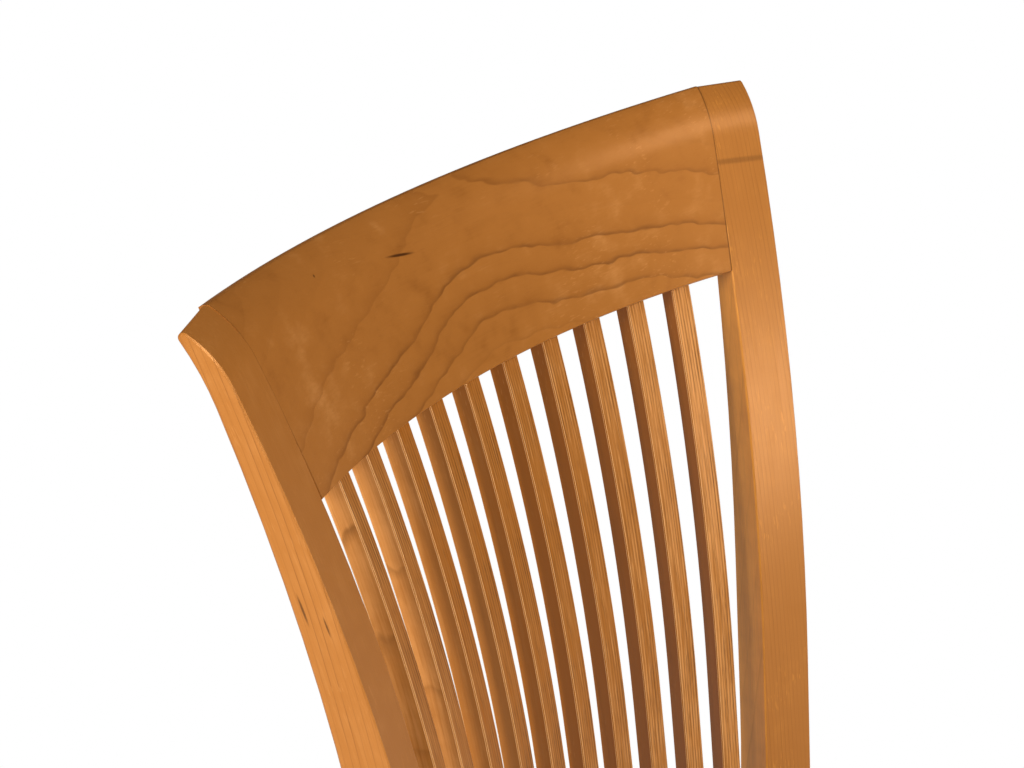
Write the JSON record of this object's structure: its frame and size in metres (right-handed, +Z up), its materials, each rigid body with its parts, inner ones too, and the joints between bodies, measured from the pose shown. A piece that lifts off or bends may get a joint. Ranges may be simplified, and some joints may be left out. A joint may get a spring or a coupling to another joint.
{
  "type": "upholstered side chair",
  "caption": "Armless wooden side chair with a curved rolled crest rail, curved back posts, a fan of slender bent back slats and an upholstered seat pad on tapered legs.",
  "frame": {"origin": "on the floor, at the middle of the chair's outline seen from above", "axes": "+Z up, -Y towards the front of the seat, +X to the right as seen from the front"},
  "size_m": [0.507, 0.5905, 1.0212],
  "materials": {
    "cherry": "oiled satin, warm reddish brown",
    "pale_hardwood": "bare planed wood",
    "plywood": "bare plywood",
    "foam": "open-cell foam",
    "seat_cloth": "woven upholstery cloth",
    "dust_cloth": "thin black non-woven cloth",
    "screw_steel": "zinc plated",
    "glide_nylon": "brown nylon"
  },
  "bodies": {
    "root": {"left_back_post": "cherry", "right_back_post": "cherry", "left_front_leg": "cherry", "right_front_leg": "cherry", "crest_rail": "cherry", "lower_back_rail": "cherry", "back_slat_01": "cherry", "back_slat_02": "cherry", "back_slat_03": "cherry", "back_slat_04": "cherry", "back_slat_05": "cherry", "back_slat_06": "cherry", "back_slat_07": "cherry", "back_slat_08": "cherry", "back_slat_09": "cherry", "back_slat_10": "cherry", "front_seat_rail": "cherry", "rear_seat_rail": "cherry", "left_seat_rail": "cherry", "right_seat_rail": "cherry", "front_right_corner_block": "pale_hardwood", "front_left_corner_block": "pale_hardwood", "rear_right_corner_block": "pale_hardwood", "rear_left_corner_block": "pale_hardwood", "crest_dowels": "pale_hardwood", "lower_rail_dowels": "pale_hardwood", "foot_glides": "glide_nylon", "seat_board": "plywood", "seat_foam": "foam", "seat_cover": "seat_cloth", "dust_cover": "dust_cloth"}
  },
  "joints": []
}
